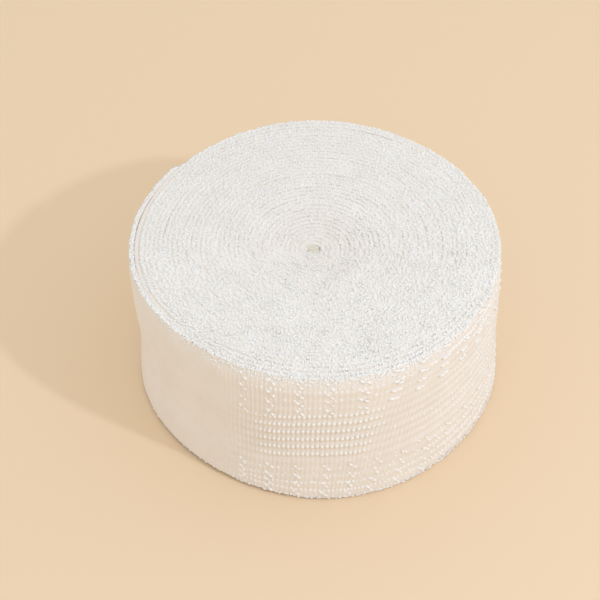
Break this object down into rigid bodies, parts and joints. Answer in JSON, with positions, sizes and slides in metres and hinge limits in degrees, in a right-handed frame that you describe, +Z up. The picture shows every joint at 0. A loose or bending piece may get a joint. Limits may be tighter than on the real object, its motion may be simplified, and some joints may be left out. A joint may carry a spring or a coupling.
{
  "type": "roll of iron-on hem tape",
  "caption": "Flat roll of off-white woven hem tape, wound in a tight spiral and lying on one of its flat ends.",
  "frame": {"origin": "middle of the base, on the surface that the roll lies on", "axes": "+Z up along the roll's axis, +X to the right of the pictured front, -Y towards the viewer"},
  "size_m": [0.0534, 0.0534, 0.025],
  "materials": {
    "tape": "matt woven cloth with fine cross ribs and small glossy weft floats"
  },
  "bodies": {
    "root": {"tape_roll": "tape"}
  },
  "joints": []
}
